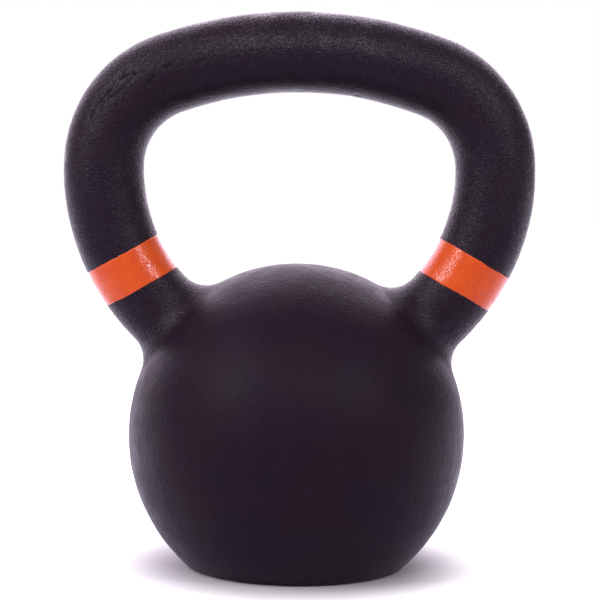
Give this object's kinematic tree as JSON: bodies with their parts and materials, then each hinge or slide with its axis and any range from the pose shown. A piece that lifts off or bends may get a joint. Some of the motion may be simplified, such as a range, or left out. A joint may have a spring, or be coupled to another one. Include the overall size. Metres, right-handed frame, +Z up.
{
  "type": "kettlebell",
  "caption": "Cast-iron kettlebell in black powder coat: flat-based ball, looped handle growing from two horns, and an orange painted band round each horn.",
  "frame": {"origin": "middle of the flat base, on the surface that the kettlebell stands on", "axes": "+Z up, +X along the grip, +Y from the front to the back; the front and back are alike"},
  "size_m": [0.1928, 0.1382, 0.227],
  "materials": {
    "powder_coated_iron": "fine-textured black powder coat, satin",
    "orange_enamel": "glossy brushed-on enamel over the coat"
  },
  "bodies": {
    "root": {"kettlebell_casting": "powder_coated_iron", "left_color_band": "orange_enamel", "right_color_band": "orange_enamel"}
  },
  "joints": []
}
